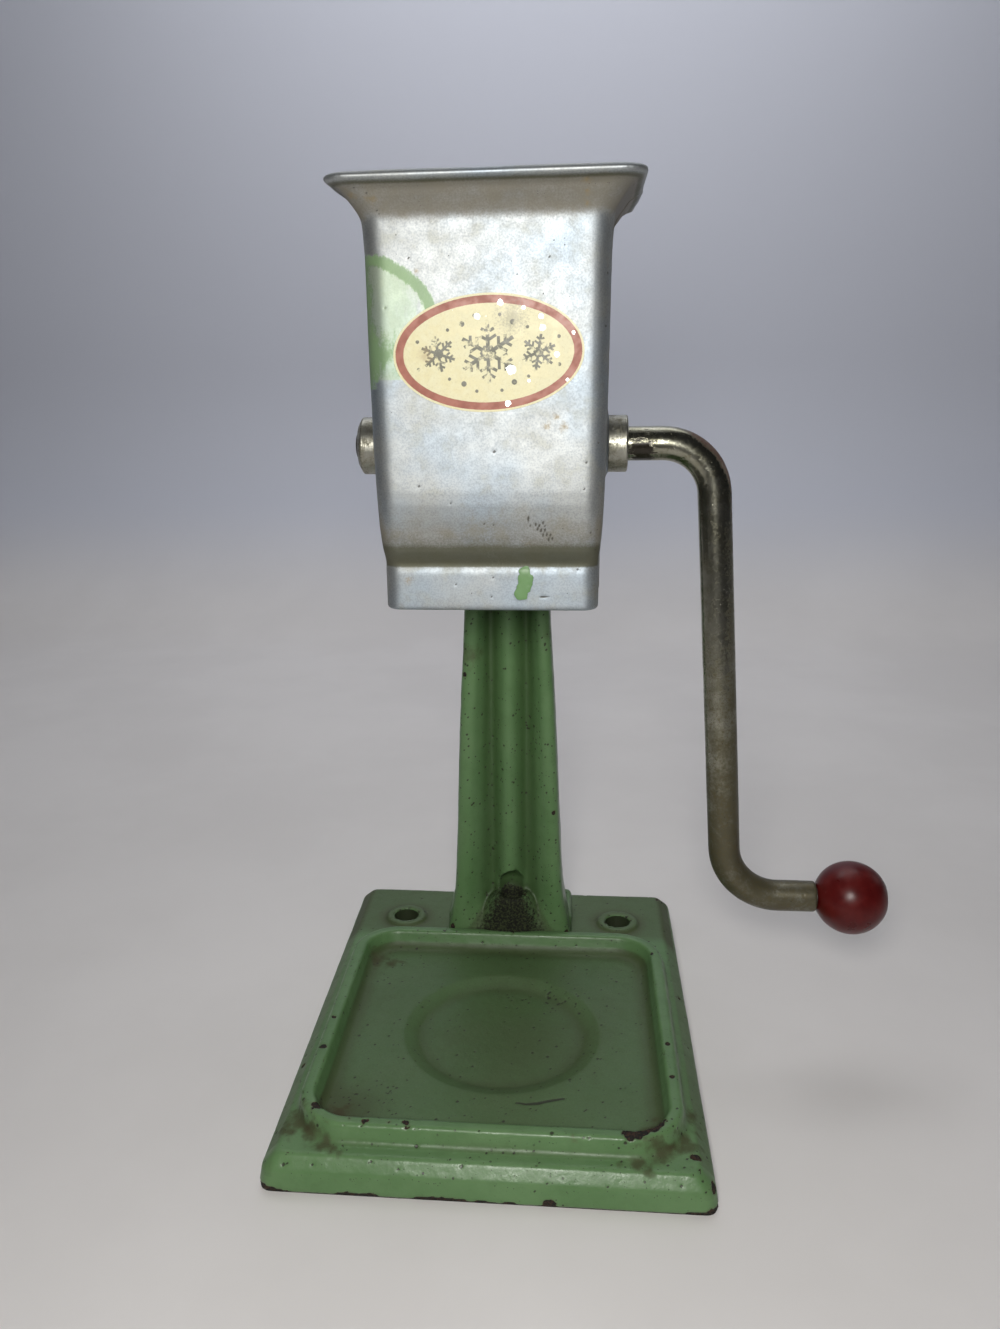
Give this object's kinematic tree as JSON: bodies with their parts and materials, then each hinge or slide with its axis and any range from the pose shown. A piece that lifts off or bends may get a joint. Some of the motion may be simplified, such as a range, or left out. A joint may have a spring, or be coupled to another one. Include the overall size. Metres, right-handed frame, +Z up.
{
  "type": "hand crank ice crusher",
  "caption": "Hand crank ice crusher: a cast two-shell hopper with a toothed rotor and a bent crank, held over a rimmed drip tray by a grooved cast column.",
  "frame": {"origin": "a point of the base's underside at the level of the table, midway between its sides and 90.5 mm behind its front edge", "axes": "+X to the right as seen by the user, towards the crank's side; +Y away from the user, from the tray towards the column; +Z up"},
  "size_m": [0.2119, 0.1859, 0.3032],
  "materials": {
    "green_enamel": "worn kitchen-green enamel, pitted, chipped to black and rusty along the edges",
    "cast_alloy": "satin cast aluminium with brown grime, scratches and a smear of green paint",
    "crank_steel": "worn nickel plate over steel, speckled brown",
    "rotor_iron": "tinned cast iron, dull",
    "bush_metal": "turned, tan-grey and dull",
    "red_knob": "glossy dark red",
    "label_transfer": "pale cream field with a brick-red border, worn",
    "fastener_steel": "dull zinc plate, lightly rusted"
  },
  "bodies": {
    "frame": {"base_casting": "green_enamel", "column_casting": "green_enamel", "foot_screw": "fastener_steel", "foot_washer": "fastener_steel", "foot_nut": "fastener_steel", "foot_bolts": "fastener_steel", "foot_bolt_washers": "fastener_steel", "hopper_front_shell": "cast_alloy", "hopper_rear_shell": "cast_alloy", "shell_screws": "fastener_steel", "head_bolts": "fastener_steel", "head_lock_washers": "fastener_steel", "breaker_comb": "rotor_iron", "comb_screws": "fastener_steel", "bearing_bush_left": "bush_metal", "bearing_bush_right": "bush_metal", "oval_label": "label_transfer"},
    "crank": {"crank_rod": "crank_steel", "rotor_casting": "rotor_iron", "rotor_pins": "fastener_steel", "thrust_washers": "fastener_steel", "knob_washer": "fastener_steel", "knob_screw": "fastener_steel"},
    "knob": {"knob_ball": "red_knob"}
  },
  "joints": [
    {"name": "crank_turn", "type": "hinge", "parent": "frame", "child": "crank", "pos_m": [0, -0.002, 0.2252], "axis": [1, 0, 0], "continuous": true},
    {"name": "knob_spin", "type": "hinge", "parent": "crank", "child": "knob", "pos_m": [0.127, -0.002, 0.0628], "axis": [1, 0, 0], "continuous": true}
  ]
}
